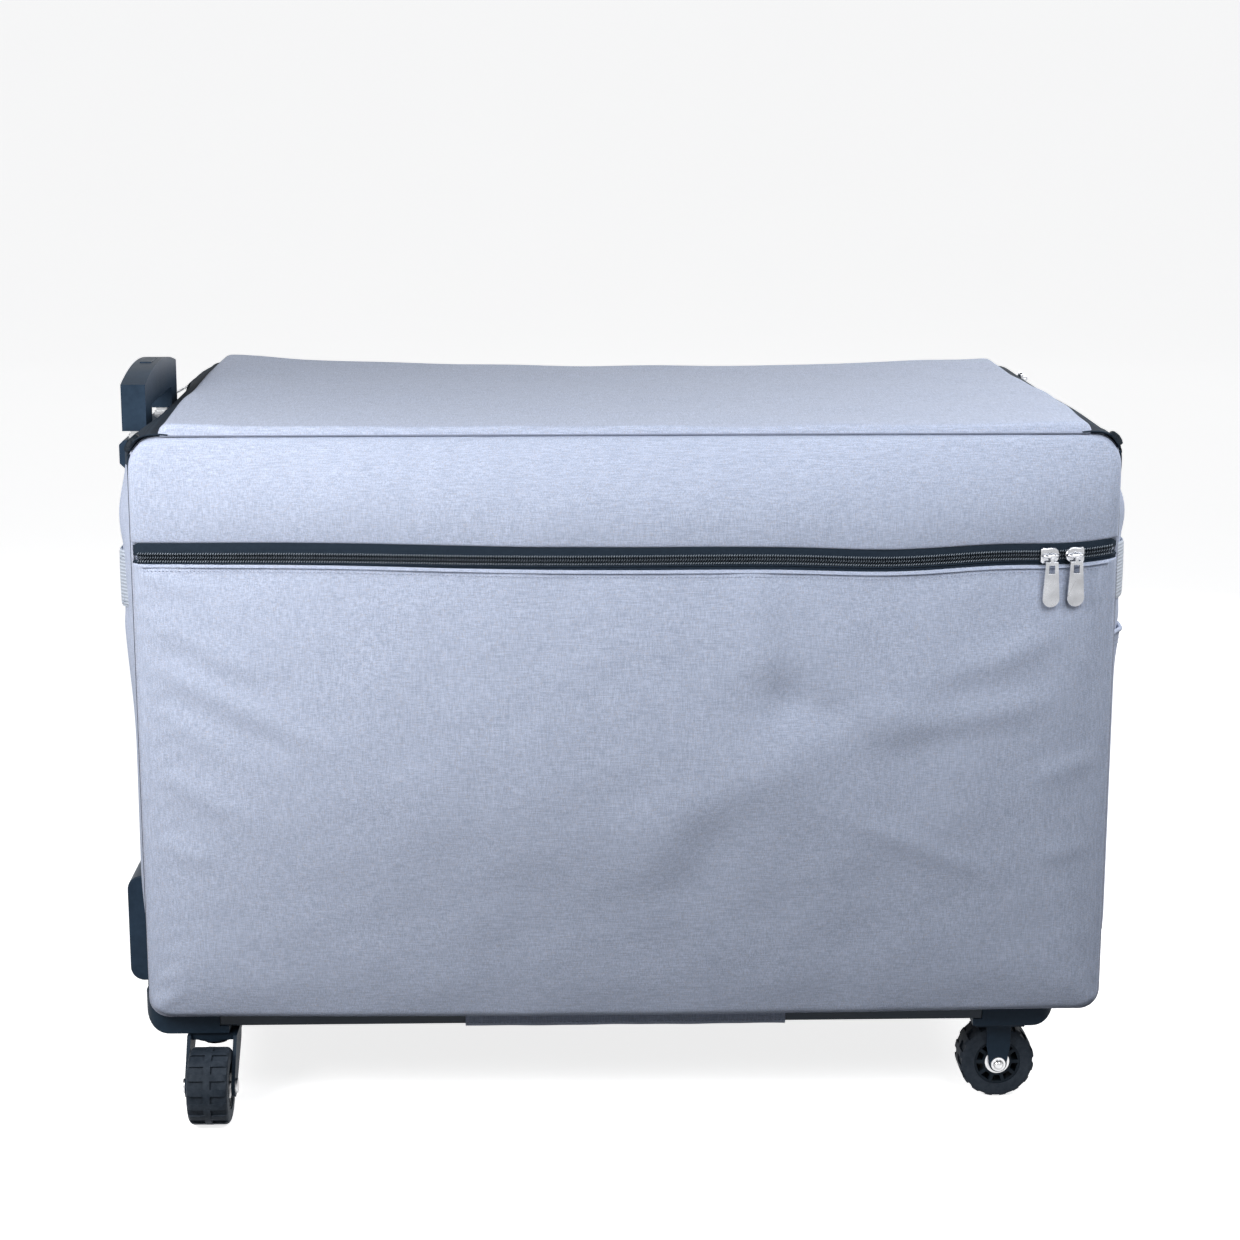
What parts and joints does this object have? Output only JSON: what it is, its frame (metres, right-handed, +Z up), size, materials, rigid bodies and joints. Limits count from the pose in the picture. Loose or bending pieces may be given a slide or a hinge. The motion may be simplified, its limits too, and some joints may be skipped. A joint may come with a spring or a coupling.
{
  "type": "wheeled soft case",
  "caption": "Padded zip-up fabric case on a low frame with two swivel and two fixed casters and a telescoping pull handle.",
  "frame": {"origin": "centre of the bounding box on the floor under the wheels", "axes": "+X along the long side away from the pull handle, +Y to the rear away from the zipped pocket, +Z up"},
  "size_m": [0.892, 0.594, 0.6476],
  "materials": {
    "case_fabric": "heathered woven polyester",
    "lining_fabric": "plain woven",
    "board_plastic": "matte",
    "zipper_tape": "herringbone woven",
    "webbing": "ribbed webbing",
    "dark_metal": "satin black",
    "tube_metal": "satin anodised",
    "tyre": "moulded rubber",
    "wheel_plastic": "moulded",
    "steel": "plated",
    "zipper_metal": "nickel plated",
    "frame_plastic": "fine texture",
    "handle_plastic": "satin"
  },
  "bodies": {
    "base": {"long_rails": "dark_metal", "end_rails": "dark_metal", "bracket_front_left": "frame_plastic", "bracket_rear_left": "frame_plastic", "bracket_front_right": "frame_plastic", "bracket_rear_right": "frame_plastic", "deck_board": "board_plastic", "floor_pad": "lining_fabric", "front_wall": "case_fabric", "front_upper_panel": "case_fabric", "front_pocket_panel": "case_fabric", "rear_wall": "case_fabric", "left_wall": "case_fabric", "right_wall": "case_fabric", "side_pocket": "case_fabric", "wall_boards": "board_plastic", "lining": "lining_fabric", "base_flaps": "case_fabric", "front_zipper": "zipper_tape", "wall_zipper_tapes": "zipper_tape", "grab_straps": "webbing", "handle_outer_tubes": "dark_metal", "handle_bezel": "handle_plastic", "handle_foot": "handle_plastic", "fixed_forks": "frame_plastic", "fixed_axles": "steel", "kingpins": "steel"},
    "lid": {"lid_panel": "case_fabric", "lid_zipper_tapes": "zipper_tape"},
    "handle_middle": {"handle_middle_tubes": "tube_metal"},
    "handle_inner": {"handle_inner_tubes": "tube_metal", "handle_grip": "handle_plastic", "button_springs": "steel"},
    "release": {"handle_button": "handle_plastic", "push_rods": "steel"},
    "swivel_front": {"swivel_fork_front": "frame_plastic", "swivel_axle_front": "steel"},
    "swivel_rear": {"swivel_fork_rear": "frame_plastic", "swivel_axle_rear": "steel"},
    "wheel_front_left": {"rim_front_left": "wheel_plastic", "tyre_front_left": "tyre", "bearings_front_left": "steel"},
    "wheel_rear_left": {"rim_rear_left": "wheel_plastic", "tyre_rear_left": "tyre", "bearings_rear_left": "steel"},
    "wheel_front_right": {"rim_front_right": "wheel_plastic", "tyre_front_right": "tyre", "bearings_front_right": "steel"},
    "wheel_rear_right": {"rim_rear_right": "wheel_plastic", "tyre_rear_right": "tyre", "bearings_rear_right": "steel"},
    "front_slider_left": {"front_slider_left": "zipper_metal"},
    "front_slider_right": {"front_slider_right": "zipper_metal"},
    "front_pull_left": {"front_pull_left": "zipper_metal"},
    "front_pull_right": {"front_pull_right": "zipper_metal"},
    "lid_slider_left": {"lid_slider_left": "zipper_metal"},
    "lid_slider_right": {"lid_slider_right": "zipper_metal"},
    "lid_pull_left": {"lid_pull_left": "zipper_metal"},
    "lid_pull_right": {"lid_pull_right": "zipper_metal"}
  },
  "joints": [
    {"name": "lid_hinge", "type": "hinge", "parent": "base", "child": "lid", "pos_m": [0.014, -0.26, 0.612], "axis": [1, 0, 0], "range_deg": [0, 205]},
    {"name": "handle_lower_stage", "type": "slide", "parent": "base", "child": "handle_middle", "axis": [0, 0, 1], "range_m": [0, 0.2]},
    {"name": "handle_upper_stage", "type": "slide", "parent": "handle_middle", "child": "handle_inner", "axis": [0, 0, 1], "range_m": [0, 0.2]},
    {"name": "release_button", "type": "slide", "parent": "handle_inner", "child": "release", "axis": [0, 0, -1], "range_m": [0, 0.004], "stiffness_N_per_m": 400, "springref_m": -0.004, "deforming": ["button_springs"]},
    {"name": "front_swivel", "type": "hinge", "parent": "base", "child": "swivel_front", "pos_m": [-0.354, -0.218, 0.07], "axis": [0, 0, 1], "continuous": true},
    {"name": "rear_swivel", "type": "hinge", "parent": "base", "child": "swivel_rear", "pos_m": [-0.354, 0.218, 0.07], "axis": [0, 0, 1], "continuous": true},
    {"name": "front_left_roll", "type": "hinge", "parent": "swivel_front", "child": "wheel_front_left", "pos_m": [-0.354, -0.263, 0.034], "axis": [1, 0, 0], "continuous": true},
    {"name": "rear_left_roll", "type": "hinge", "parent": "swivel_rear", "child": "wheel_rear_left", "pos_m": [-0.354, 0.263, 0.034], "axis": [1, 0, 0], "continuous": true},
    {"name": "front_right_roll", "type": "hinge", "parent": "base", "child": "wheel_front_right", "pos_m": [0.351, -0.209, 0.034], "axis": [0, 1, 0], "continuous": true},
    {"name": "rear_right_roll", "type": "hinge", "parent": "base", "child": "wheel_rear_right", "pos_m": [0.351, 0.209, 0.034], "axis": [0, 1, 0], "continuous": true},
    {"name": "front_slider_left_travel", "type": "hinge", "parent": "base", "child": "front_slider_left", "pos_m": [0.014, 2.59542, 0.51], "axis": [0, 0, 1], "range_deg": [-15, 0]},
    {"name": "front_slider_right_travel", "type": "hinge", "parent": "base", "child": "front_slider_right", "pos_m": [0.014, 2.59542, 0.51], "axis": [0, 0, 1], "range_deg": [0, 0.42]},
    {"name": "front_pull_left_swing", "type": "hinge", "parent": "front_slider_left", "child": "front_pull_left", "pos_m": [0.3741, -0.27631, 0.51], "axis": [0.9922, 0.1244, 0], "range_deg": [-170, 0]},
    {"name": "front_pull_right_swing", "type": "hinge", "parent": "front_slider_right", "child": "front_pull_right", "pos_m": [0.39566, -0.27353, 0.51], "axis": [0.9913, 0.1319, 0], "range_deg": [-170, 0]},
    {"name": "lid_slider_left_travel", "type": "slide", "parent": "base", "child": "lid_slider_left", "axis": [0, -1, 0], "range_m": [0, 0.115]},
    {"name": "lid_slider_right_travel", "type": "slide", "parent": "base", "child": "lid_slider_right", "axis": [0, -1, 0], "range_m": [0, 0.455]},
    {"name": "lid_pull_left_swing", "type": "hinge", "parent": "lid_slider_left", "child": "lid_pull_left", "pos_m": [-0.4133, 0.236, 0.598], "axis": [0, 1, 0], "range_deg": [-50, 110]},
    {"name": "lid_pull_right_swing", "type": "hinge", "parent": "lid_slider_right", "child": "lid_pull_right", "pos_m": [0.4413, 0.236, 0.598], "axis": [0, -1, 0], "range_deg": [0, 168]}
  ]
}
